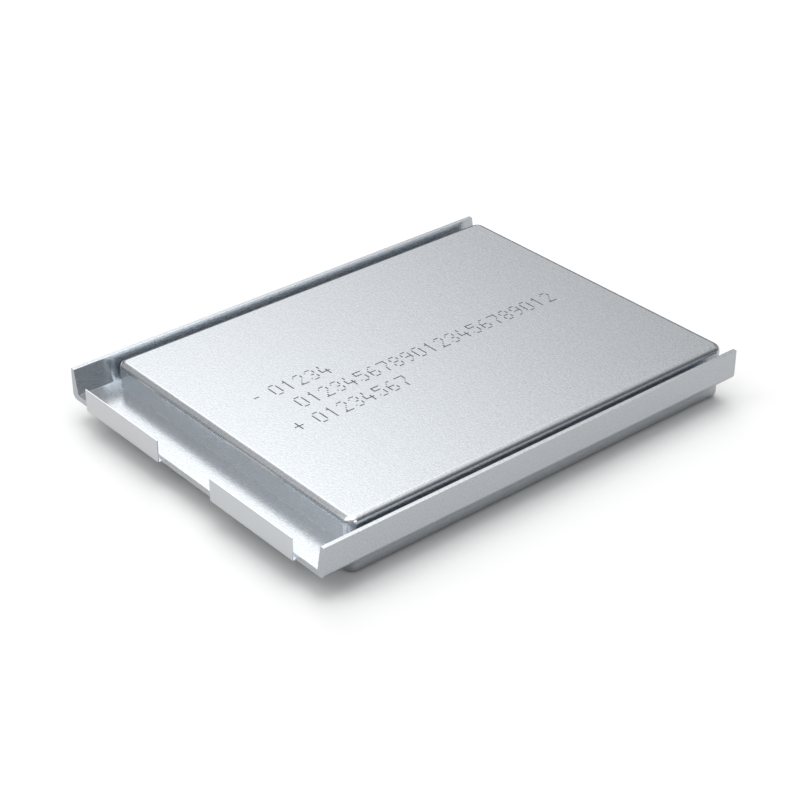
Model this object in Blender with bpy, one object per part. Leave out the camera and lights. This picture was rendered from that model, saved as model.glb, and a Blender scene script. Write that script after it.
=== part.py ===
"""Lithium-ion pouch battery cell, 7.2 mm thick, 48 mm wide and 64 mm long.

The cell lies on its back: origin in the middle of the underside, X across the cell, Z up,
and both tabs at the -Y end. Two cups of laminate film meet in a flange at mid-height. The
side seals of the flange are folded up into walls, its front seal is the terrace that the
tabs come out of, and the sheet is folded at the rear, where it has no flange. Inside is a
stack of electrode plates with a zigzag separator, whose foil lugs gather under the tabs.
All lengths are in metres.
"""

import math

import bmesh
import bpy
from mathutils import Vector

# ---- Driving dimensions ----
WIDTH = 0.0480
LENGTH = 0.0640
THICKNESS = 0.0072

# Film: its thickness in the cups, and the thickness of one ply of the flange and side walls
CUP_FILM = 0.00030
PLY = 0.00033
SEAL_GAP = 0.00003  # between the two sealed plies
CUP_ROUND = 0.00085  # outer radius of the cups' edges
ROUND_STEPS = 4
SHARP_ANGLE = math.radians(30)  # edges that turn less than this are shaded smooth

# Cups
CUP_HALF_WIDTH = 0.02212
CUP_FRONT = -0.02642
CUP_REAR = 0.03190

# Flange and its folded side walls
FLANGE_TOP = 0.00390
FLANGE_THICKNESS = 0.00075
TERRACE_EDGE = -0.03144
WALL_TOP = 0.00717
WALL_TOP_THICKNESS = 0.00056
WALL_FOOT_THICKNESS = 0.00116
FOLD_RADIUS = 0.00075  # outer radius where the side seal is folded up
REAR_GAP_CLEARANCE = 0.00015  # between the rear of the cups and the ends of the side flanges

# Tabs
TAB_WIDTH = 0.01477
TAB_THICKNESS = 0.00014
TAB_CENTRE = {"negative": -0.01281, "positive": 0.01197}
TAB_TOP = 0.00621
BEND_RADIUS = 0.00020  # outer radius of the bend at the foot of a tab's upright leg
TAB_AXIS_HEIGHT = 0.00338  # middle of the strip, and of the bend that it hinges in
TAB_INNER_END = -0.02375
SEALANT_MARGIN = 0.00120  # the sealant film stands this far past each side of the tab
SEALANT_THICKNESS = 0.00003
SEALANT_SETBACK = 0.00004  # behind the terrace edge
SEALANT_INNER_END = -0.02540

# Electrode stack
CATHODE_COUNT = 20
ANODE_COUNT = CATHODE_COUNT + 1
STACK_BOTTOM = 0.00040
STACK_TOP = THICKNESS - STACK_BOTTOM
SEPARATOR_THICKNESS = 0.00002
FIT_GAP = 0.00001  # clearance between pieces that lie against each other
SEPARATOR_HALF_WIDTH = 0.02130
SEPARATOR_FRONT = -0.02225
SEPARATOR_REAR = 0.03120
ANODE_HALF_WIDTH = 0.02090
ANODE_FRONT = -0.02200
ANODE_REAR = 0.03100
CATHODE_INSET = 0.00050  # each cathode is this much smaller than an anode all round

# Foil lugs, which run forward from the plates and gather under the tabs
LUG_WIDTH = 0.0100
LUG_THICKNESS = 0.00002
LUG_PITCH = 0.000035  # between neighbouring lugs where they are welded together
LUG_BEND_START = -0.02250
LUG_BEND_END = -0.02360
LUG_TIP = -0.02530

# Tapes
TAPE_THICKNESS = 0.00004
WELD_TAPE_WIDTH = 0.0120
STACK_TAPE_WIDTH = 0.0080
STACK_TAPE_OFFSET = 0.0110
STACK_TAPE_LENGTH = 0.0090

# ---- Derived places ----
FLANGE_BOTTOM = FLANGE_TOP - FLANGE_THICKNESS
LOWER_PLY_TOP = FLANGE_BOTTOM + PLY
UPPER_PLY_BOTTOM = LOWER_PLY_TOP + SEAL_GAP
TAB_FACE = -LENGTH / 2
TAB_AXIS = Vector((0.0, TAB_FACE + BEND_RADIUS, TAB_AXIS_HEIGHT))
STRIP_BOTTOM = TAB_AXIS_HEIGHT - TAB_THICKNESS / 2
STRIP_TOP = TAB_AXIS_HEIGHT + TAB_THICKNESS / 2
CHANNEL_FLOOR = STRIP_BOTTOM - SEALANT_THICKNESS - 2 * FIT_GAP
SEPARATOR_LAYERS = ANODE_COUNT + CATHODE_COUNT + 1
SLEEVE = SEPARATOR_THICKNESS + 2 * FIT_GAP  # room for a separator layer between two plates
PLATE_THICKNESS = (STACK_TOP - STACK_BOTTOM - SEPARATOR_LAYERS * SLEEVE) / (
    ANODE_COUNT + CATHODE_COUNT
)


# ---- Scene, materials and small helpers ----
def clear_scene():
    for old in list(bpy.data.objects):
        bpy.data.objects.remove(old, do_unlink=True)


def new_collection(name):
    collection = bpy.data.collections.new(name)
    bpy.context.scene.collection.children.link(collection)
    return collection


def make_material(name, colour, metallic, roughness):
    material = bpy.data.materials.new(name)
    material.use_nodes = True
    shader = material.node_tree.nodes["Principled BSDF"]
    shader.inputs["Base Color"].default_value = (*colour, 1.0)
    shader.inputs["Metallic"].default_value = metallic
    shader.inputs["Roughness"].default_value = roughness
    return material


def make_object(name, mesh, location, collection, material=None):
    """Turns a bmesh into a named object with outward faces, smooth but for its sharp edges."""
    bmesh.ops.recalc_face_normals(mesh, faces=mesh.faces)
    data = bpy.data.meshes.new(name)
    mesh.to_mesh(data)
    mesh.free()
    data.shade_smooth()
    data.set_sharp_from_angle(angle=SHARP_ANGLE)
    made = bpy.data.objects.new(name, data)
    made.location = location
    if material is not None:
        data.materials.append(material)
    collection.objects.link(made)
    return made


def is_level(edge, side):
    """Whether an edge of a centred box lies round its top (side 1) or bottom (side -1) face."""
    return all(corner.co.z * side > 0 for corner in edge.verts)


def make_box(
    name,
    low,
    high,
    collection,
    material=None,
    rounding=0.0,
    sharp_bottom=False,
    sharp_top=False,
):
    """A box between two corners. Its edges are rounded, but not round a face left sharp."""
    low = Vector(low)
    high = Vector(high)
    mesh = bmesh.new()
    bmesh.ops.create_cube(mesh, size=1.0)
    bmesh.ops.scale(mesh, vec=high - low, verts=mesh.verts)
    if rounding:
        kept = [edge for edge in mesh.edges if sharp_bottom and is_level(edge, -1)]
        kept += [edge for edge in mesh.edges if sharp_top and is_level(edge, 1)]
        bmesh.ops.bevel(
            mesh,
            geom=[edge for edge in mesh.edges if edge not in kept],
            offset=rounding,
            segments=ROUND_STEPS,
            profile=0.5,
            affect="EDGES",
        )
    return make_object(name, mesh, (low + high) / 2, collection, material)


def across(axis, run, height, along):
    """A point from its place in an outline (run, height) and its place along the extrusion axis."""
    if axis == "X":
        return Vector((along, run, height))
    return Vector((run, along, height))


def extrude_faces(mesh, faces, shift):
    grown = bmesh.ops.extrude_face_region(mesh, geom=faces)
    moved = [part for part in grown["geom"] if isinstance(part, bmesh.types.BMVert)]
    bmesh.ops.translate(mesh, vec=shift, verts=moved)


def make_prism(name, outline, axis, start, end, collection, material=None, location=(0, 0, 0)):
    """A closed outline, as (run, height) points, extruded along X or Y."""
    mesh = bmesh.new()
    corners = [mesh.verts.new(across(axis, run, height, start)) for run, height in outline]
    face = mesh.faces.new(corners)
    extrude_faces(mesh, [face], across(axis, 0.0, 0.0, end - start))
    return make_object(name, mesh, location, collection, material)


def make_ribbon(name, path, thickness, axis, start, end, collection, material):
    """A strip of even thickness that follows a path of square turns, extruded along X or Y."""
    mesh = bmesh.new()
    points = [Vector(point) for point in path]
    runs = [(b - a).normalized() for a, b in zip(points, points[1:])]
    sides = [Vector((-run.y, run.x)) for run in runs]
    pairs = []
    for index, point in enumerate(points):
        before = sides[max(index - 1, 0)]
        after = sides[min(index, len(sides) - 1)]
        offset = before if before == after else before + after
        pair = [point + offset * thickness / 2, point - offset * thickness / 2]
        pairs.append([mesh.verts.new(across(axis, p.x, p.y, start)) for p in pair])
    faces = [mesh.faces.new((a[0], a[1], b[1], b[0])) for a, b in zip(pairs, pairs[1:])]
    bmesh.ops.recalc_face_normals(mesh, faces=mesh.faces)
    extrude_faces(mesh, faces, across(axis, 0.0, 0.0, end - start))
    return make_object(name, mesh, (0, 0, 0), collection, material)


def make_loft(name, sections, collection, material):
    """A solid through rectangular sections, each (y, (x low, x high), (z low, z high))."""
    mesh = bmesh.new()
    rings = []
    for y, (x_low, x_high), (z_low, z_high) in sections:
        corners = [(x_low, z_low), (x_high, z_low), (x_high, z_high), (x_low, z_high)]
        rings.append([mesh.verts.new((x, y, z)) for x, z in corners])
    for near, far in zip(rings, rings[1:]):
        for side in range(4):
            turn = (side + 1) % 4
            mesh.faces.new((near[side], near[turn], far[turn], far[side]))
    mesh.faces.new(rings[0])
    mesh.faces.new(rings[-1])
    return make_object(name, mesh, (0, 0, 0), collection, material)


def arc(centre, radius, start_deg, end_deg, steps):
    """Points along an arc, both ends included."""
    points = []
    for step in range(steps + 1):
        angle = math.radians(start_deg + (end_deg - start_deg) * step / steps)
        points.append((centre[0] + radius * math.cos(angle), centre[1] + radius * math.sin(angle)))
    return points


def mirrored(half):
    """A closed outline from its right-hand half, which runs from the bottom to the top."""
    return half + [(-x, z) for x, z in reversed(half)]


def use_boolean(target, tool, operation):
    modifier = target.modifiers.new(f"{operation.lower()}_{tool.name}", "BOOLEAN")
    modifier.operation = operation
    modifier.solver = "EXACT"
    modifier.object = tool
    tool.hide_render = True
    tool.display_type = "WIRE"


# ---- Laminate film ----
def fold_centre():
    """The centre that both plies of a side wall are bent round."""
    return (WIDTH / 2 - FOLD_RADIUS, FLANGE_BOTTOM + FOLD_RADIUS)


def lower_ply_outline():
    """Section of the outer ply: flat under the flange and folded up outside the walls."""
    outer = arc(fold_centre(), FOLD_RADIUS, -90, 0, ROUND_STEPS)
    inner = arc(fold_centre(), FOLD_RADIUS - PLY, 0, -90, ROUND_STEPS)
    wall_top = [(WIDTH / 2, WALL_TOP), (WIDTH / 2 - PLY, WALL_TOP)]
    return mirrored(outer + wall_top + inner)


def upper_ply_outline():
    """Section of the inner ply, whose wall is thicker at its foot than at its top."""
    outer_face = WIDTH / 2 - PLY - SEAL_GAP
    outer = arc(fold_centre(), FOLD_RADIUS - PLY - SEAL_GAP, -90, 0, ROUND_STEPS)
    wall_top = [(outer_face, WALL_TOP), (WIDTH / 2 - WALL_TOP_THICKNESS, WALL_TOP)]
    foot = [(WIDTH / 2 - WALL_FOOT_THICKNESS, FLANGE_TOP)]
    return mirrored(outer + wall_top + foot)


def make_cutters(guides):
    """The rear gap in the flange, the hollow for the stack, and the two tab channels."""
    rear_gap = make_box(
        "rear_gap_cutter",
        (-CUP_HALF_WIDTH - REAR_GAP_CLEARANCE, CUP_REAR - CUP_FILM, FLANGE_BOTTOM - CUP_FILM),
        (CUP_HALF_WIDTH + REAR_GAP_CLEARANCE, LENGTH, FLANGE_TOP + CUP_FILM),
        guides,
    )
    hollow = make_box(
        "stack_hollow_cutter",
        (-CUP_HALF_WIDTH + CUP_FILM, CUP_FRONT + CUP_FILM, CUP_FILM),
        (CUP_HALF_WIDTH - CUP_FILM, CUP_REAR - CUP_FILM, THICKNESS - CUP_FILM),
        guides,
        rounding=CUP_ROUND - CUP_FILM,
    )
    channels = []
    for pole, centre in TAB_CENTRE.items():
        half = TAB_WIDTH / 2 + SEALANT_MARGIN + SEAL_GAP
        low = (centre - half, -LENGTH, CHANNEL_FLOOR)
        high = (centre + half, SEALANT_INNER_END, FLANGE_TOP)
        channels.append(make_box(f"{pole}_channel_cutter", low, high, guides))
    return rear_gap, hollow, channels


def make_film(name, outline, cup, rear_gap, hollows, material, parts):
    """One half of the pouch: its ply of the flange and walls, with its cup, made hollow.

    At the rear the cups have no flange and meet edge to edge, where the real sheet is folded.
    """
    film = make_prism(name, outline, "Y", TERRACE_EDGE, LENGTH / 2, parts, material)
    use_boolean(film, rear_gap, "DIFFERENCE")
    use_boolean(film, cup, "UNION")
    for hollow in hollows:
        use_boolean(film, hollow, "DIFFERENCE")
    return film


def make_pouch(material, parts, guides):
    rear_gap, hollow, channels = make_cutters(guides)
    lower_cup = make_box(
        "lower_cup",
        (-CUP_HALF_WIDTH, CUP_FRONT, 0.0),
        (CUP_HALF_WIDTH, CUP_REAR, LOWER_PLY_TOP),
        guides,
        rounding=CUP_ROUND,
        sharp_top=True,
    )
    upper_cup = make_box(
        "upper_cup",
        (-CUP_HALF_WIDTH, CUP_FRONT, UPPER_PLY_BOTTOM),
        (CUP_HALF_WIDTH, CUP_REAR, THICKNESS),
        guides,
        rounding=CUP_ROUND,
        sharp_bottom=True,
    )
    lower = lower_ply_outline()
    upper = upper_ply_outline()
    make_film("pouch_film_lower", lower, lower_cup, rear_gap, [hollow, *channels], material, parts)
    make_film("pouch_film_upper", upper, upper_cup, rear_gap, [hollow], material, parts)


# ---- Tabs, their sealant films and weld tapes ----
def make_tab(pole, materials, parts):
    """A strip through the front seal, and the upright leg that hinges at its bend."""
    centre = TAB_CENTRE[pole]
    side = (centre - TAB_WIDTH / 2, centre + TAB_WIDTH / 2)
    strip_end = TAB_AXIS.y + BEND_RADIUS + 2 * FIT_GAP
    make_box(
        f"{pole}_tab",
        (side[0], strip_end, STRIP_BOTTOM),
        (side[1], TAB_INNER_END, STRIP_TOP),
        parts,
        materials[f"{pole}_tab"],
    )
    outer_face = -BEND_RADIUS
    inner_face = TAB_THICKNESS - BEND_RADIUS
    bend_end = 360 + math.degrees(math.acos(inner_face / BEND_RADIUS))
    leg_height = TAB_TOP - TAB_AXIS_HEIGHT
    outline = arc((0.0, 0.0), BEND_RADIUS, 180, bend_end, 4 * ROUND_STEPS)
    outline += [(inner_face, leg_height), (outer_face, leg_height)]
    make_prism(
        f"{pole}_tab_leg",
        outline,
        "X",
        -TAB_WIDTH / 2,
        TAB_WIDTH / 2,
        parts,
        materials[f"{pole}_tab"],
        location=(centre, TAB_AXIS.y, TAB_AXIS.z),
    )


def make_sealant(pole, material, parts):
    """The films above and below the tab that seal it between the two plies."""
    centre = TAB_CENTRE[pole]
    half = TAB_WIDTH / 2 + SEALANT_MARGIN
    levels = {
        "lower": STRIP_BOTTOM - FIT_GAP - SEALANT_THICKNESS,
        "upper": STRIP_TOP + FIT_GAP,
    }
    for place, bottom in levels.items():
        make_box(
            f"{pole}_tab_sealant_{place}",
            (centre - half, TERRACE_EDGE + SEALANT_SETBACK, bottom),
            (centre + half, SEALANT_INNER_END, bottom + SEALANT_THICKNESS),
            parts,
            material,
        )


def lug_level(index, count):
    """Height of a lug's underside in the welded bundle; the top lug lies against the tab."""
    return STRIP_BOTTOM - FIT_GAP - LUG_THICKNESS - (count - 1 - index) * LUG_PITCH


def make_weld_tapes(pole, count, material, parts):
    """The tapes over and under the weld between a tab and its lugs."""
    centre = TAB_CENTRE[pole]
    levels = {
        "lower": lug_level(0, count) - FIT_GAP - TAPE_THICKNESS,
        "upper": STRIP_TOP + FIT_GAP,
    }
    for place, bottom in levels.items():
        make_box(
            f"{pole}_weld_tape_{place}",
            (centre - WELD_TAPE_WIDTH / 2, LUG_TIP + FIT_GAP, bottom),
            (centre + WELD_TAPE_WIDTH / 2, TAB_INNER_END - FIT_GAP, bottom + TAPE_THICKNESS),
            parts,
            material,
        )


# ---- Electrode stack ----
def layer_bottom(layer):
    """Underside of a plate; layer 0 is the lowest anode, and cathodes are the odd layers."""
    return STACK_BOTTOM + SLEEVE + layer * (PLATE_THICKNESS + SLEEVE)


def make_plate(name, layer, inset, lug_centre, lug_bottom, material, parts):
    """A coated plate and the bare foil lug that runs from its front edge to the weld."""
    bottom = layer_bottom(layer)
    plate_x = (inset - ANODE_HALF_WIDTH, ANODE_HALF_WIDTH - inset)
    plate_z = (bottom, bottom + PLATE_THICKNESS)
    lug_x = (lug_centre - LUG_WIDTH / 2, lug_centre + LUG_WIDTH / 2)
    foil_bottom = bottom + (PLATE_THICKNESS - LUG_THICKNESS) / 2
    foil_z = (foil_bottom, foil_bottom + LUG_THICKNESS)
    weld_z = (lug_bottom, lug_bottom + LUG_THICKNESS)
    sections = [
        (ANODE_REAR - inset, plate_x, plate_z),
        (ANODE_FRONT + inset, plate_x, plate_z),
        (ANODE_FRONT + inset, lug_x, foil_z),
        (LUG_BEND_START, lug_x, foil_z),
        (LUG_BEND_END, lug_x, weld_z),
        (LUG_TIP, lug_x, weld_z),
    ]
    make_loft(name, sections, parts, material)


def make_plates(materials, parts):
    for index in range(ANODE_COUNT):
        level = lug_level(index, ANODE_COUNT)
        name = f"anode_plate_{index + 1:02d}"
        make_plate(name, 2 * index, 0.0, TAB_CENTRE["negative"], level, materials["anode"], parts)
    for index in range(CATHODE_COUNT):
        level = lug_level(index, CATHODE_COUNT)
        name = f"cathode_plate_{index + 1:02d}"
        centre = TAB_CENTRE["positive"]
        make_plate(name, 2 * index + 1, CATHODE_INSET, centre, level, materials["cathode"], parts)


def make_separator(material, parts):
    """One sheet that zigzags across the stack, turning at alternate sides of the plates."""
    path = []
    side = -1
    for layer in range(SEPARATOR_LAYERS):
        height = layer_bottom(layer) - SLEEVE / 2
        path += [(side * SEPARATOR_HALF_WIDTH, height), (-side * SEPARATOR_HALF_WIDTH, height)]
        side = -side
    make_ribbon(
        "separator",
        path,
        SEPARATOR_THICKNESS,
        "Y",
        SEPARATOR_FRONT,
        SEPARATOR_REAR,
        parts,
        material,
    )


def make_stack_tapes(material, parts):
    """Two tapes that bind the stack, each passing round its rear edge."""
    clearance = TAPE_THICKNESS / 2 + FIT_GAP
    rear = SEPARATOR_REAR + clearance
    bottom = STACK_BOTTOM - clearance
    top = STACK_TOP + clearance
    forward = rear - STACK_TAPE_LENGTH
    path = [(forward, top), (rear, top), (rear, bottom), (forward, bottom)]
    for side, centre in (("left", -STACK_TAPE_OFFSET), ("right", STACK_TAPE_OFFSET)):
        start = centre - STACK_TAPE_WIDTH / 2
        end = centre + STACK_TAPE_WIDTH / 2
        name = f"stack_tape_{side}"
        make_ribbon(name, path, TAPE_THICKNESS, "X", start, end, parts, material)


# ---- Assembly ----
def make_materials():
    return {
        "film": make_material("laminate_film", (0.76, 0.78, 0.80), 1.0, 0.34),
        "negative_tab": make_material("nickel_strip", (0.74, 0.74, 0.75), 1.0, 0.30),
        "positive_tab": make_material("aluminium_strip", (0.79, 0.80, 0.82), 1.0, 0.32),
        "sealant": make_material("tab_sealant", (0.86, 0.85, 0.80), 0.0, 0.45),
        "tape": make_material("polyimide_tape", (0.55, 0.36, 0.07), 0.0, 0.35),
        "separator": make_material("separator_film", (0.90, 0.90, 0.89), 0.0, 0.55),
        "anode": make_material("graphite_on_copper", (0.06, 0.06, 0.065), 0.0, 0.70),
        "cathode": make_material("oxide_on_aluminium", (0.10, 0.10, 0.11), 0.0, 0.62),
    }


def build_cell():
    clear_scene()
    parts = new_collection("pouch_battery_cell")
    guides = new_collection("cutters")
    materials = make_materials()
    make_pouch(materials["film"], parts, guides)
    for pole, lug_count in (("negative", ANODE_COUNT), ("positive", CATHODE_COUNT)):
        make_tab(pole, materials, parts)
        make_sealant(pole, materials["sealant"], parts)
        make_weld_tapes(pole, lug_count, materials["tape"], parts)
    make_plates(materials, parts)
    make_separator(materials["separator"], parts)
    make_stack_tapes(materials["tape"], parts)


build_cell()
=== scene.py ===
"""Looks of the pouch battery cell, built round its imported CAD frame.

The two film halves are rebuilt with fine edges, each tab becomes one bent strip of metal in a
fused seal, rows of digits are printed on the top side, and every piece gets its finish.
Lengths are in metres. X is across the cell, -Y is the end with the tabs and Z is up.
"""

import math

import bmesh
import bpy
from mathutils import Matrix, Vector


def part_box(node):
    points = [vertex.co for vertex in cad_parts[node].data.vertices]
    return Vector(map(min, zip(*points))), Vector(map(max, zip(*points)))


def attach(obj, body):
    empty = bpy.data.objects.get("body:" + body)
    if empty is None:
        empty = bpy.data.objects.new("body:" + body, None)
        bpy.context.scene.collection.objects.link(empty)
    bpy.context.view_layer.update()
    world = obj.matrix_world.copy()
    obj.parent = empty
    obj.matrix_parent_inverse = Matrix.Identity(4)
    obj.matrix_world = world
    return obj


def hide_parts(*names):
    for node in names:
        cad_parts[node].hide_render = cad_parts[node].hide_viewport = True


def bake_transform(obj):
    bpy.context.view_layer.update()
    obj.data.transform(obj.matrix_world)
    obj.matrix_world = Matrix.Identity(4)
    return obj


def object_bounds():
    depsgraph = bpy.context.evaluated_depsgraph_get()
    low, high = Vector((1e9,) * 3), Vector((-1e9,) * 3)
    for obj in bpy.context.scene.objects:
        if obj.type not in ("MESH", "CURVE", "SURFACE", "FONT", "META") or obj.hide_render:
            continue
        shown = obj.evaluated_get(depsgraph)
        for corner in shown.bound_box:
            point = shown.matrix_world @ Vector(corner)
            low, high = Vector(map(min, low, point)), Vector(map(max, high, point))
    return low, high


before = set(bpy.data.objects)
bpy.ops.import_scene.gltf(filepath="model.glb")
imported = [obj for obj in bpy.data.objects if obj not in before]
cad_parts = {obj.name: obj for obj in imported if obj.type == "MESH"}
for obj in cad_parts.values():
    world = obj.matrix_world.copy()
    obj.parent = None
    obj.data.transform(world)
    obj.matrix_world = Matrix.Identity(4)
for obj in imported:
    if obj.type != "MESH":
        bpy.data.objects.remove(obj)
CAD_LOW, CAD_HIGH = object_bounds()

# ---- Film: sizes from the frame ----
HALF_WIDTH = CAD_HIGH.x
REAR = CAD_HIGH.y
THICKNESS = CAD_HIGH.z
UPPER_LOW, UPPER_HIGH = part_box("pouch_film_upper")
TERRACE_EDGE = UPPER_LOW.y
WALL_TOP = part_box("pouch_film_lower")[1].z
PLY_PITCH = HALF_WIDTH - UPPER_HIGH.x  # one ply and the seam beside it
SEAM_HEIGHT = UPPER_LOW.z

# ---- Film: sizes that the frame's boxes don't give ----
SEAM_GAP = 0.000002
PLY = PLY_PITCH - SEAM_GAP
FLANGE_THICKNESS = 0.00075
FLANGE_BOTTOM = SEAM_HEIGHT - PLY_PITCH
FLANGE_TOP = FLANGE_BOTTOM + FLANGE_THICKNESS
CUP_FILM = 0.00030
CUP_ROUND = 0.00085  # between a cup's sides and its flat crown
CUP_CORNER = 0.00125  # of a cup seen from above
CUP_HALF_WIDTH = 0.02212
CUP_FRONT = -0.02642
CUP_REAR = 0.03190
WALL_TOP_THICKNESS = 0.00056  # of both plies together
WALL_FOOT_THICKNESS = 0.00116
FOLD_RADIUS = 0.00075
FOLD_CENTRE = (HALF_WIDTH - FOLD_RADIUS, FLANGE_BOTTOM + FOLD_RADIUS)
REAR_CLEARANCE = 0.00015  # beside the cups, where the flange is cut away at the rear
FOLD_STEPS = 12
EDGE_STEPS = 10
CORNER_STEPS = 10
SIDE_STEPS = 24
EDGE_BREAK = 0.00003  # rounding along the film's cut edges
CUT_EDGE_ANGLE = math.radians(40)
FILM_SHARP_ANGLE = math.radians(50)

# ---- Tabs and their seals: sizes ----
TAB_SLOTS = {"negative": "nickel_strip", "positive": "aluminium_strip"}
STRIP_LOW, STRIP_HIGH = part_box("negative_tab")
STRIP_THICKNESS = STRIP_HIGH.z - STRIP_LOW.z
STRIP_HEIGHT = (STRIP_HIGH.z + STRIP_LOW.z) / 2
STRIP_INNER_END = STRIP_HIGH.y
TAB_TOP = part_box("negative_tab_leg")[1].z
TAB_FACE = CAD_LOW.y
BEND_RADIUS = 0.00013  # of the middle of the strip, round the hinge axis
BEND_STEPS = 8
DROP_LENGTH = 0.00030  # over which the strip comes down to the bend
STRIP_CHAMFER = 0.00002
SLOT_CLEARANCE = 0.000005  # between the film, a seal and the tab in it
SEAL_SETBACK = 0.00030  # of the seal film behind the terrace edge
SEAL_EDGE_HEIGHT = 0.00008  # where the two seal films are fused beside the tab
STRIP_SHARP_ANGLE = math.radians(35)

# ---- Print ----
PRINT_PITCH = 0.00178  # from one digit to the next
PRINT_FEED = 0.00400  # from one line to the next
PRINT_BASELINE = -0.00320
PRINT_SIGN_START = -0.01940
PRINT_LINES = (("-", 5, -0.01660), ("", 23, -0.01590), ("+", 8, -0.01640))  # sign, digits, start
DOT_SPACING = (0.000265, 0.000357)  # along a line and up a digit
STROKE = 0.00017  # side of a dot
INK_HEIGHT = 0.000004  # above the film
INK_DEPTH = 0.000002  # into the film
DIGITS = (  # rows of dots from the top down
    ".###. #...# #...# #...# #...# #...# .###.",
    "..#.. .##.. ..#.. ..#.. ..#.. ..#.. ..#..",
    ".###. #...# ....# ...#. ..#.. .#... #####",
    ".###. #...# ....# ..##. ....# #...# .###.",
    ".#... .#... #.... #..#. ##### ...#. ...#.",
    "##### #.... ####. ....# ....# #...# .###.",
    "..##. .#... #.... ####. #...# #...# .###.",
    "##### ....# ....# ...#. ..#.. ..#.. ..#..",
    ".###. #...# #...# .###. #...# #...# .###.",
    ".###. #...# #...# .#### ....# ...#. .##..",
)
SIGNS = {
    "-": "..... ..... ..... .###. ..... ..... .....",
    "+": "..... ..#.. ..#.. ##### ..#.. ..#.. .....",
}

# ---- Camera ----
CAMERA_TARGET = Vector((0.00216, -0.002575, THICKNESS / 2))
CAMERA_AZIMUTH = math.radians(49.56)
CAMERA_ELEVATION = math.radians(31.25)
CAMERA_ROLL = math.radians(0.15)
CAMERA_DISTANCE = 0.23683
CAMERA_LENS = 89.78  # in millimetres, as Blender takes it
CAMERA_CLIP = 0.01

# ---- Studio ----
FLOOR_HALF = 3.0
FLOOR_DROP = 0.00001  # below the cell, so that the two surfaces never coincide
FLOOR_SHADE = 0.90
FLOOR_IN_GLOSS = 0.52  # painted shade: the floor's colour where the metal mirrors it, darker than where it is seen directly
WHITE = (1.0, 1.0, 1.0, 1.0)
SKY_LEVEL = 0.05
SKY_LOBES = (  # heading (anticlockwise from +X), elevation, spread, brightness
    (0.0, 90.0, 24.0, 4.05),
    (140.0, 52.0, 13.0, 1.42),
    (153.0, 36.0, 14.0, 1.34),
    (130.0, 30.0, 12.0, 0.20),
    (212.0, 28.0, 34.0, 0.34),
    (85.0, 32.0, 26.0, 0.38),
    (295.0, 32.0, 28.0, 0.42),
    (243.0, 28.0, 11.0, 1.50),
    (250.0, 52.0, 13.0, 3.40),
    (0.0, 30.0, 12.0, 2.90),
)

# ---- Grain of the finishes ----
GRAIN_DETAIL = 2.0  # finer layers of noise within each grain


# ---- Camera, floor and light ----
def direction_to(heading_deg, elevation_deg):
    """The unit vector towards a place in the sky."""
    heading = math.radians(heading_deg)
    elevation = math.radians(elevation_deg)
    level = math.cos(elevation)
    return Vector((math.cos(heading) * level, math.sin(heading) * level, math.sin(elevation)))


def make_camera():
    """A camera that looks down at the tab end and the +X side."""
    level = math.cos(CAMERA_ELEVATION)
    right = Vector((math.cos(CAMERA_AZIMUTH), math.sin(CAMERA_AZIMUTH), 0.0))
    back = Vector((right.y * level, -right.x * level, math.sin(CAMERA_ELEVATION)))
    axes = Matrix((right, back.cross(right), back)).transposed()
    data = bpy.data.cameras.new("camera")
    data.lens = CAMERA_LENS
    data.clip_start = CAMERA_CLIP
    camera = bpy.data.objects.new("camera", data)
    camera.matrix_world = (axes @ Matrix.Rotation(CAMERA_ROLL, 3, "Z")).to_4x4()
    camera.location = CAMERA_TARGET + back * CAMERA_DISTANCE
    bpy.context.scene.collection.objects.link(camera)
    bpy.context.scene.camera = camera


def make_floor():
    """Pale paper, with painted shade that makes it a little darker in the metal's mirror image of
    it.
    """
    mesh = bmesh.new()
    bmesh.ops.create_grid(mesh, x_segments=1, y_segments=1, size=FLOOR_HALF)
    floor = finish_mesh("floor", mesh)
    floor.location.z = CAD_LOW.z - FLOOR_DROP
    material, shader = new_finish("floor_paper", [FLOOR_SHADE] * 3, 0.0, 1.0)
    shader.inputs["Specular IOR Level"].default_value = 0.0
    tree = material.node_tree
    # Painted shade: glossy rays see the darker FLOOR_IN_GLOSS colour instead of the floor's own.
    path = tree.nodes.new("ShaderNodeLightPath")
    mix = tree.nodes.new("ShaderNodeMix")
    mix.data_type = "RGBA"
    mix.inputs["A"].default_value = shader.inputs["Base Color"].default_value
    mix.inputs["B"].default_value = [FLOOR_IN_GLOSS] * 3 + [1.0]
    tree.links.new(path.outputs["Is Glossy Ray"], mix.inputs["Factor"])
    tree.links.new(mix.outputs["Result"], shader.inputs["Base Color"])
    floor.data.materials.append(material)


def sky_lobe(tree, coordinates, heading, elevation, spread, brightness):
    """Nodes for light that is brightest in one direction and fades smoothly round it."""
    facing = tree.nodes.new("ShaderNodeVectorMath")
    facing.operation = "DOT_PRODUCT"
    facing.inputs[1].default_value = direction_to(heading, elevation)
    fall = tree.nodes.new("ShaderNodeMath")
    fall.operation = "MULTIPLY_ADD"
    steepness = 1.0 / (1.0 - math.cos(math.radians(spread)))
    fall.inputs[1].default_value = steepness
    fall.inputs[2].default_value = math.log(brightness) - steepness
    level = tree.nodes.new("ShaderNodeMath")
    level.operation = "EXPONENT"
    tree.links.new(coordinates.outputs["Generated"], facing.inputs[0])
    tree.links.new(facing.outputs["Value"], fall.inputs[0])
    tree.links.new(fall.outputs[0], level.inputs[0])
    return level


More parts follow.
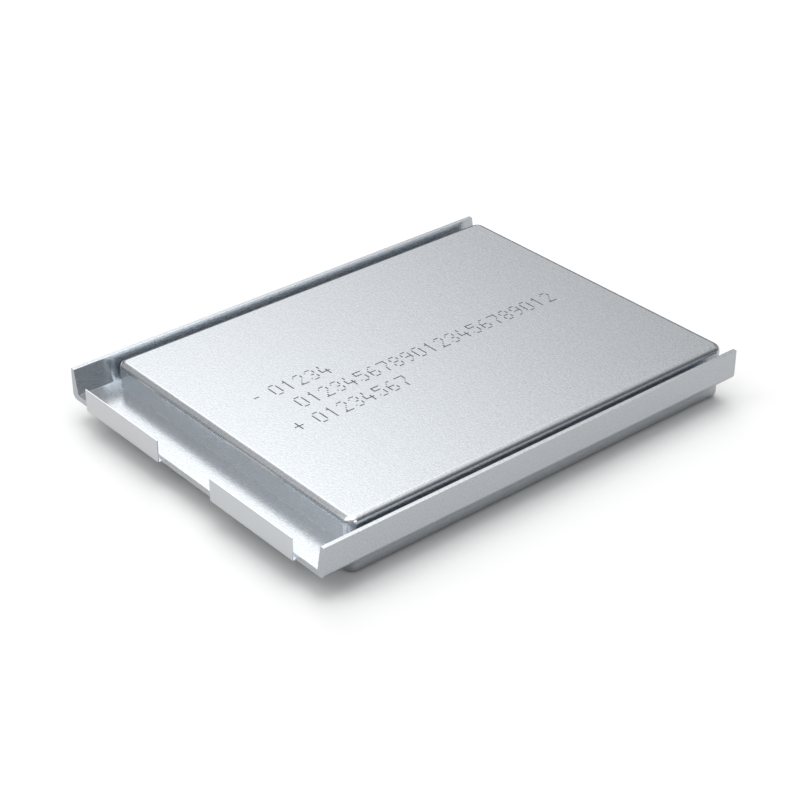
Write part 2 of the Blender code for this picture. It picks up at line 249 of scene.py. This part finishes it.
def make_sky():
    """A studio with even dim walls and a few broad soft lights."""
    world = bpy.data.worlds.new("studio")
    bpy.context.scene.world = world
    world.use_nodes = True
    tree = world.node_tree
    coordinates = tree.nodes.new("ShaderNodeTexCoord")
    total = tree.nodes.new("ShaderNodeValue")
    total.outputs[0].default_value = SKY_LEVEL
    for lobe in SKY_LOBES:
        more = tree.nodes.new("ShaderNodeMath")
        more.operation = "ADD"
        tree.links.new(total.outputs[0], more.inputs[0])
        tree.links.new(sky_lobe(tree, coordinates, *lobe).outputs[0], more.inputs[1])
        total = more
    lights = tree.nodes["Background"]
    lights.inputs["Color"].default_value = WHITE
    tree.links.new(total.outputs[0], lights.inputs["Strength"])

    # Seen directly past the end of the floor, the studio is plain white.
    backdrop = tree.nodes.new("ShaderNodeBackground")
    backdrop.inputs["Color"].default_value = WHITE
    path = tree.nodes.new("ShaderNodeLightPath")
    seen = tree.nodes.new("ShaderNodeMixShader")
    tree.links.new(path.outputs["Is Camera Ray"], seen.inputs["Fac"])
    tree.links.new(lights.outputs[0], seen.inputs[1])
    tree.links.new(backdrop.outputs[0], seen.inputs[2])
    tree.links.new(seen.outputs[0], tree.nodes["World Output"].inputs["Surface"])


# ---- Mesh helpers ----
def finish_mesh(name, mesh):
    """Turns a mesh under construction into an object in the scene."""
    bmesh.ops.recalc_face_normals(mesh, faces=mesh.faces)
    data = bpy.data.meshes.new(name)
    mesh.to_mesh(data)
    mesh.free()
    made = bpy.data.objects.new(name, data)
    bpy.context.scene.collection.objects.link(made)
    return made


def arc(centre, radius, start_deg, end_deg, steps):
    """Points along an arc, both ends included."""
    points = []
    for step in range(steps + 1):
        angle = math.radians(start_deg + (end_deg - start_deg) * step / steps)
        points.append((centre[0] + radius * math.cos(angle), centre[1] + radius * math.sin(angle)))
    return points


def mirrored(half):
    """A half outline, closed by its mirror image across X = 0."""
    return half + [(-x, z) for x, z in reversed(half)]


def extrude_faces(mesh, faces, shift):
    grown = bmesh.ops.extrude_face_region(mesh, geom=faces)
    moved = [part for part in grown["geom"] if isinstance(part, bmesh.types.BMVert)]
    bmesh.ops.translate(mesh, vec=shift, verts=moved)


def extrude_outline(name, outline, start, end):
    """A closed (x, z) outline extruded along Y."""
    mesh = bmesh.new()
    face = mesh.faces.new([mesh.verts.new((x, start, z)) for x, z in outline])
    extrude_faces(mesh, [face], (0.0, end - start, 0.0))
    return finish_mesh(name, mesh)


def make_block(name, low, high):
    mesh = bmesh.new()
    bmesh.ops.create_cube(mesh, size=1.0)
    bmesh.ops.scale(mesh, vec=Vector(high) - Vector(low), verts=mesh.verts)
    bmesh.ops.translate(mesh, vec=(Vector(low) + Vector(high)) / 2, verts=mesh.verts)
    return finish_mesh(name, mesh)


def bridge(mesh, near, far):
    """Side faces between two closed rings of the same number of points."""
    count = len(near)
    for index in range(count):
        after = (index + 1) % count
        mesh.faces.new((near[index], near[after], far[after], far[index]))


def apply_modifiers(piece):
    graph = bpy.context.evaluated_depsgraph_get()
    graph.update()
    piece.data = bpy.data.meshes.new_from_object(piece.evaluated_get(graph))
    piece.modifiers.clear()


def use_boolean(piece, tool, operation):
    modifier = piece.modifiers.new(operation.lower(), "BOOLEAN")
    modifier.operation = operation
    modifier.solver = "EXACT"
    modifier.object = tool
    apply_modifiers(piece)


def join_piece(piece, finish, slot, *nodes):
    """Makes a new piece stand for CAD nodes, with its finish. The slot is not used."""
    piece.data.materials.clear()
    piece.data.materials.append(finish)
    if nodes:
        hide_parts(*nodes)


# ---- Laminate film ----
def lower_ply_outline():
    """The outer ply in section: the flange, its two folds and the outside of both walls."""
    outer = arc(FOLD_CENTRE, FOLD_RADIUS, -90, 0, FOLD_STEPS)
    inner = arc(FOLD_CENTRE, FOLD_RADIUS - PLY, 0, -90, FOLD_STEPS)
    wall_top = [(HALF_WIDTH, WALL_TOP), (HALF_WIDTH - PLY, WALL_TOP)]
    return mirrored(outer + wall_top + inner)


def upper_ply_outline():
    """The inner ply in section, thicker at the foot of each wall than at its top."""
    outer = arc(FOLD_CENTRE, FOLD_RADIUS - PLY_PITCH, -90, 0, FOLD_STEPS)
    wall_top = [(HALF_WIDTH - PLY_PITCH, WALL_TOP), (HALF_WIDTH - WALL_TOP_THICKNESS, WALL_TOP)]
    foot = [(HALF_WIDTH - WALL_FOOT_THICKNESS, FLANGE_TOP)]
    return mirrored(outer + wall_top + foot)


def rounded_rectangle(half_width, front, rear, radius):
    """Points round a rectangle with round corners, with more points along its sides."""
    corners = [
        ((half_width - radius, front + radius), -90),
        ((half_width - radius, rear - radius), 0),
        ((-half_width + radius, rear - radius), 90),
        ((-half_width + radius, front + radius), 180),
    ]
    points = []
    for index, (centre, start) in enumerate(corners):
        turn = arc(centre, radius, start, start + 90, CORNER_STEPS)
        next_centre, next_start = corners[(index + 1) % 4]
        target = arc(next_centre, radius, next_start, next_start, 1)[0]
        points += turn
        for step in range(1, SIDE_STEPS):
            points.append(tuple(Vector(turn[-1]).lerp(Vector(target), step / SIDE_STEPS)))
    return points


def make_cup(name, open_height, crown_height):
    """A cup's outer form: straight from its open end, then rounded over to its flat crown."""
    side = math.copysign(1.0, crown_height - open_height)
    levels = [(0.0, open_height)]
    for step in range(EDGE_STEPS + 1):
        angle = math.radians(90 * step / EDGE_STEPS)
        inset = CUP_ROUND * (1 - math.cos(angle))
        levels.append((inset, crown_height - side * CUP_ROUND * (1 - math.sin(angle))))
    mesh = bmesh.new()
    rings = []
    for inset, height in levels:
        outline = rounded_rectangle(
            CUP_HALF_WIDTH - inset, CUP_FRONT + inset, CUP_REAR - inset, CUP_CORNER - inset
        )
        rings.append([mesh.verts.new((x, y, height)) for x, y in outline])
    for near, far in zip(rings, rings[1:]):
        bridge(mesh, near, far)
    mesh.faces.new(rings[0])
    mesh.faces.new(rings[-1])
    return finish_mesh(name, mesh)


def on_seam(point):
    """Whether a point lies where the two plies meet."""
    off_centre = Vector((abs(point.x) - FOLD_CENTRE[0], point.z - FOLD_CENTRE[1]))
    if off_centre.x < 0:
        depth = -off_centre.y
    elif off_centre.y > 0:
        depth = off_centre.x
    else:
        depth = off_centre.length
    return abs(depth - (FOLD_RADIUS - PLY_PITCH)) < 2 * SEAM_GAP


def in_cup(point):
    """Whether a point lies over a cup rather than on the flange round it."""
    inside = abs(point.x) < CUP_HALF_WIDTH - CUP_FILM / 2
    return inside and CUP_FRONT + CUP_FILM / 2 < point.y < CUP_REAR - CUP_FILM / 2


def break_edges(film):
    """Rounds the film's cut edges slightly, and keeps its flat faces flat in shading."""
    mesh = bmesh.new()
    mesh.from_mesh(film.data)
    cut_edges = []
    for edge in mesh.edges:
        ends = [corner.co for corner in edge.verts]
        sharp = edge.calc_face_angle(0.0) > CUT_EDGE_ANGLE
        if sharp and not all(map(on_seam, ends)) and not any(map(in_cup, ends)):
            cut_edges.append(edge)
    bmesh.ops.bevel(
        mesh,
        geom=cut_edges,
        offset=EDGE_BREAK,
        segments=2,
        profile=0.5,
        affect="EDGES",
        clamp_overlap=True,
    )
    mesh.to_mesh(film.data)
    mesh.free()
    film.data.shade_smooth()
    film.data.set_sharp_from_angle(angle=FILM_SHARP_ANGLE)
    weights = film.modifiers.new("flat_faces", "WEIGHTED_NORMAL")
    weights.keep_sharp = True
    apply_modifiers(film)


def make_hollow_tools():
    """The tools that cut the room for the stack and for each tab with its seal."""
    tools = [
        make_block(
            "stack_tool",
            (-CUP_HALF_WIDTH + 2 * CUP_FILM, CUP_FRONT + 2 * CUP_FILM, CUP_FILM),
            (CUP_HALF_WIDTH - 2 * CUP_FILM, CUP_REAR - 2 * CUP_FILM, THICKNESS - CUP_FILM),
        )
    ]
    room = Vector((SLOT_CLEARANCE, 0.0, SLOT_CLEARANCE))
    for pole in TAB_SLOTS:
        seal_low, seal_high = seal_box(pole)
        strip_low, strip_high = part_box(f"{pole}_tab")
        tools.append(make_block(f"{pole}_seal_tool", seal_low - room, seal_high + room))
        slot_low = Vector((strip_low.x, TERRACE_EDGE - SEAL_SETBACK, strip_low.z))
        slot_high = Vector((strip_high.x, TERRACE_EDGE + 2 * SEAL_SETBACK, strip_high.z))
        tools.append(make_block(f"{pole}_slot_tool", slot_low - room, slot_high + room))
    return tools


def make_pouch():
    """Both halves of the pouch: a cup fused to its ply, then hollowed for what it holds."""
    rear_gap = make_block(
        "rear_gap_tool",
        (-CUP_HALF_WIDTH - REAR_CLEARANCE, CUP_REAR - CUP_FILM, FLANGE_BOTTOM - CUP_FILM),
        (CUP_HALF_WIDTH + REAR_CLEARANCE, 2 * REAR, FLANGE_TOP + CUP_FILM),
    )
    hollows = make_hollow_tools()
    seam_bottom = SEAM_HEIGHT - SEAM_GAP
    lower_cup = make_cup("lower_cup_tool", seam_bottom, CAD_LOW.z)
    upper_cup = make_cup("upper_cup_tool", SEAM_HEIGHT, THICKNESS)
    halves = {
        "pouch_film_lower": (lower_ply_outline(), lower_cup),
        "pouch_film_upper": (upper_ply_outline(), upper_cup),
    }
    for node, (outline, cup) in halves.items():
        film = extrude_outline(f"{node}_fine", outline, TERRACE_EDGE, REAR)
        use_boolean(film, rear_gap, "DIFFERENCE")
        use_boolean(film, cup, "UNION")
        for hollow in hollows:
            use_boolean(film, hollow, "DIFFERENCE")
        break_edges(film)
        join_piece(film, film_finish(), "laminate_film", node)
        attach(film, "cell")
    for tool in (rear_gap, lower_cup, upper_cup, *hollows):
        bpy.data.objects.remove(tool)


# ---- Tabs and their seals ----
def seal_box(pole):
    """The room of the two seal films of a tab, which start a little behind the terrace edge."""
    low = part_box(f"{pole}_tab_sealant_lower")[0]
    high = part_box(f"{pole}_tab_sealant_upper")[1]
    return Vector((low.x, TERRACE_EDGE + SEAL_SETBACK, low.z)), high


def make_seal(pole):
    """The two seal films, fused beside the tab and tapered to their edges."""
    low, high = seal_box(pole)
    strip_low, strip_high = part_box(f"{pole}_tab")
    middle = (low.z + high.z) / 2
    rise = SEAL_EDGE_HEIGHT / 2
    outline = [
        (low.x, middle - rise),
        (strip_low.x, low.z),
        (strip_high.x, low.z),
        (high.x, middle - rise),
        (high.x, middle + rise),
        (strip_high.x, high.z),
        (strip_low.x, high.z),
        (low.x, middle + rise),
    ]
    seal = extrude_outline(f"{pole}_tab_seal", outline, low.y, high.y)
    room = Vector((SLOT_CLEARANCE, SEAL_SETBACK, SLOT_CLEARANCE))
    slot_low = Vector((strip_low.x, low.y, strip_low.z))
    slot_high = Vector((strip_high.x, high.y, strip_high.z))
    slot = make_block("slot_tool", slot_low - room, slot_high + room)
    use_boolean(seal, slot, "DIFFERENCE")
    bpy.data.objects.remove(slot)
    nodes = [f"{pole}_tab_sealant_lower", f"{pole}_tab_sealant_upper"]
    join_piece(seal, seal_finish(), "tab_sealant", *nodes)
    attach(seal, "cell")


def tab_path(axis):
    """The middle of the strip as (y, z) points: level, down to the bend, then up the leg."""
    bottom = axis.z - BEND_RADIUS
    points = [(STRIP_INNER_END, STRIP_HEIGHT), (STRIP_INNER_END - STRIP_CHAMFER, STRIP_HEIGHT)]
    for step in range(BEND_STEPS):
        share = step / BEND_STEPS
        fall = share * share * (3 - 2 * share)
        points.append(
            (axis.y + DROP_LENGTH * (1 - share), STRIP_HEIGHT + (bottom - STRIP_HEIGHT) * fall)
        )
    points += arc((axis.y, axis.z), BEND_RADIUS, 270, 180, BEND_STEPS)
    middle_of_leg = axis.y - BEND_RADIUS
    return points + [(middle_of_leg, TAB_TOP - STRIP_CHAMFER), (middle_of_leg, TAB_TOP)]


def strip_section(half_width, half_height):
    """Corners of the strip's section, each cut by a small chamfer."""
    wide = half_width - STRIP_CHAMFER
    high = half_height - STRIP_CHAMFER
    quarter = [(half_width, high), (wide, half_height)]
    upper = quarter + [(-x, z) for x, z in reversed(quarter)]
    return upper + [(x, -z) for x, z in reversed(upper)]


def make_tab(pole):
    """One strip from the weld, through the seal and round the bend to the top of the leg."""
    low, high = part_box(f"{pole}_tab")
    axis = Vector((0.0, TAB_FACE + BEND_RADIUS + STRIP_THICKNESS / 2, STRIP_HEIGHT))
    path = [Vector(point) for point in tab_path(axis)]
    mesh = bmesh.new()
    rings = []
    for index, point in enumerate(path):
        ahead = path[min(index + 1, len(path) - 1)] - path[max(index - 1, 0)]
        normal = Vector((-ahead.y, ahead.x)).normalized()
        end = index in (0, len(path) - 1)
        inset = STRIP_CHAMFER if end else 0.0
        section = strip_section((high.x - low.x) / 2 - inset, STRIP_THICKNESS / 2 - inset / 2)
        ring = []
        for across, along_normal in section:
            place = point + normal * along_normal
            ring.append(mesh.verts.new(((low.x + high.x) / 2 + across, place.x, place.y)))
        rings.append(ring)
    for near, far in zip(rings, rings[1:]):
        bridge(mesh, near, far)
    mesh.faces.new(rings[0])
    mesh.faces.new(rings[-1])
    tab = finish_mesh(f"{pole}_tab_strip", mesh)
    tab.data.shade_smooth()
    tab.data.set_sharp_from_angle(angle=STRIP_SHARP_ANGLE)
    finish = nickel_finish() if pole == "negative" else aluminium_finish()
    join_piece(tab, finish, TAB_SLOTS[pole], f"{pole}_tab", f"{pole}_tab_leg")
    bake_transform(tab)


# ---- Print on the top side ----
def glyph_cells(pattern):
    """Cells of a digit: its dots, and the joints between dots that are side by side."""
    rows = pattern.split()
    dots = {
        (column, len(rows) - 1 - line)
        for line, row in enumerate(rows)
        for column, mark in enumerate(row)
        if mark == "#"
    }
    cells = {(2 * column, 2 * row) for column, row in dots}
    cells |= {(2 * column + 1, 2 * row) for column, row in dots if (column + 1, row) in dots}
    cells |= {(2 * column, 2 * row + 1) for column, row in dots if (column, row + 1) in dots}
    return cells


def grid_line(index, spacing):
    """Place of a line of the dot grid: even lines start a dot, odd lines end it."""
    return index // 2 * spacing + (index % 2) * STROKE


def add_glyph(mesh, pattern, start, baseline):
    """Faces of a digit that reads along +Y, with its top towards -X."""
    corners = {}
    faces = []
    for column, row in sorted(glyph_cells(pattern)):
        face = []
        for across, up in ((0, 0), (1, 0), (1, 1), (0, 1)):
            key = (column + across, row + up)
            if key not in corners:
                along = start + grid_line(key[0], DOT_SPACING[0])
                height = grid_line(key[1], DOT_SPACING[1])
                place = (baseline - height, along, THICKNESS - INK_DEPTH)
                corners[key] = mesh.verts.new(place)
            face.append(corners[key])
        faces.append(mesh.faces.new(face))
    extrude_faces(mesh, faces, (0.0, 0.0, INK_DEPTH + INK_HEIGHT))


def make_print():
    """Polarity signs and rows of digits that count up, as a dot printer would set them."""
    mesh = bmesh.new()
    for line, (sign, count, start) in enumerate(PRINT_LINES):
        baseline = PRINT_BASELINE + line * PRINT_FEED
        if sign:
            add_glyph(mesh, SIGNS[sign], PRINT_SIGN_START, baseline)
        for place in range(count):
            digit = DIGITS[place % len(DIGITS)]
            add_glyph(mesh, digit, start + place * PRINT_PITCH, baseline)
    printed = finish_mesh("printed_digits", mesh)
    printed.data.materials.append(ink_finish())
    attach(printed, "cell")


# ---- Finishes ----
def new_finish(name, colour, metallic, roughness):
    """A new material and its shader node."""
    material = bpy.data.materials.new(name)
    material.use_nodes = True
    shader = material.node_tree.nodes["Principled BSDF"]
    shader.inputs["Base Color"].default_value = (*colour, 1.0)
    shader.inputs["Metallic"].default_value = metallic
    shader.inputs["Roughness"].default_value = roughness
    return material, shader


def add_grain(material, shader, size, stretch=(1.0, 1.0, 1.0), colour=0.0, roughness=0.0, bump=0.0):
    """Varies a finish over grains of a given size: its colour, its roughness and its height."""
    tree = material.node_tree
    coordinates = tree.nodes.new("ShaderNodeTexCoord")
    mapping = tree.nodes.new("ShaderNodeMapping")
    mapping.inputs["Scale"].default_value = stretch
    noise = tree.nodes.new("ShaderNodeTexNoise")
    noise.inputs["Scale"].default_value = 1.0 / size
    noise.inputs["Detail"].default_value = GRAIN_DETAIL
    tree.links.new(coordinates.outputs["Object"], mapping.inputs["Vector"])
    tree.links.new(mapping.outputs["Vector"], noise.inputs["Vector"])
    if colour:
        base = Vector(shader.inputs["Base Color"].default_value[:3])
        mix = tree.nodes.new("ShaderNodeMix")
        mix.data_type = "RGBA"
        mix.inputs["A"].default_value = (*(base * (1 - colour)), 1.0)
        mix.inputs["B"].default_value = (*(base * (1 + colour)), 1.0)
        tree.links.new(noise.outputs["Fac"], mix.inputs["Factor"])
        tree.links.new(mix.outputs["Result"], shader.inputs["Base Color"])
    if roughness:
        middle = shader.inputs["Roughness"].default_value
        spread = tree.nodes.new("ShaderNodeMapRange")
        spread.inputs["To Min"].default_value = middle - roughness
        spread.inputs["To Max"].default_value = middle + roughness
        tree.links.new(noise.outputs["Fac"], spread.inputs["Value"])
        tree.links.new(spread.outputs["Result"], shader.inputs["Roughness"])
    if bump:
        relief = tree.nodes.new("ShaderNodeBump")
        relief.inputs["Strength"].default_value = 1.0
        relief.inputs["Distance"].default_value = bump
        tree.links.new(noise.outputs["Fac"], relief.inputs["Height"])
        tree.links.new(relief.outputs["Normal"], shader.inputs["Normal"])
    return material


def film_finish():
    """Satin laminate, with the fine sparkle of its nylon side."""
    found = bpy.data.materials.get("satin_laminate")
    if found:
        return found
    material, shader = new_finish("satin_laminate", (0.725, 0.760, 0.795), 1.0, 0.23)
    return add_grain(material, shader, 0.00022, colour=0.22, roughness=0.03, bump=0.000008)


def nickel_finish():
    material, shader = new_finish("nickel", (0.940, 0.960, 0.985), 1.0, 0.30)
    return add_grain(material, shader, 0.00012, (1.0, 0.2, 0.2), 0.02, 0.04, 0.000001)


def aluminium_finish():
    material, shader = new_finish("aluminium", (0.935, 0.965, 0.990), 1.0, 0.32)
    return add_grain(material, shader, 0.00014, (1.0, 0.2, 0.2), 0.02, 0.04, 0.000001)


def ink_finish():
    material, shader = new_finish("grey_ink", (0.09, 0.095, 0.10), 0.0, 0.55)
    return add_grain(material, shader, 0.00010, colour=0.25, roughness=0.08, bump=0.000001)


def seal_finish():
    """Milky polypropylene."""
    found = bpy.data.materials.get("milky_seal")
    if found:
        return found
    material, shader = new_finish("milky_seal", (0.86, 0.85, 0.80), 0.0, 0.42)
    shader.inputs["Subsurface Weight"].default_value = 0.3
    shader.inputs["Subsurface Scale"].default_value = 0.0002
    return add_grain(material, shader, 0.0004, colour=0.03, roughness=0.05, bump=0.000002)


def tape_finish():
    material, shader = new_finish("amber_tape", (0.55, 0.33, 0.06), 0.0, 0.28)
    shader.inputs["Coat Weight"].default_value = 0.4
    return add_grain(material, shader, 0.0006, colour=0.08, roughness=0.05, bump=0.000002)


def separator_finish():
    material, shader = new_finish("separator_white", (0.88, 0.88, 0.87), 0.0, 0.50)
    return add_grain(material, shader, 0.00008, (1.0, 0.3, 1.0), 0.04, 0.06, 0.000001)


def graphite_finish():
    material, shader = new_finish("graphite_coat", (0.045, 0.046, 0.050), 0.1, 0.62)
    return add_grain(material, shader, 0.00006, colour=0.25, roughness=0.10, bump=0.000003)


def oxide_finish():
    material, shader = new_finish("oxide_coat", (0.075, 0.075, 0.080), 0.0, 0.70)
    return add_grain(material, shader, 0.00005, colour=0.20, roughness=0.08, bump=0.000003)


def dress_cad_nodes():
    """Gives every CAD node that still shows its own finish."""
    finishes = {
        "anode_plate": graphite_finish(),
        "cathode_plate": oxide_finish(),
        "separator": separator_finish(),
        "stack_tape": tape_finish(),
    }
    finishes["negative_weld_tape"] = finishes["stack_tape"]
    finishes["positive_weld_tape"] = finishes["stack_tape"]
    for name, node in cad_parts.items():
        for prefix, finish in finishes.items():
            if name.startswith(prefix):
                node.data.materials.clear()
                node.data.materials.append(finish)


# ---- Build ----
make_camera()
make_floor()
make_sky()
make_pouch()
for tab_pole in TAB_SLOTS:
    make_seal(tab_pole)
    make_tab(tab_pole)
make_print()
dress_cad_nodes()
bpy.context.scene.view_settings.view_transform = "Standard"
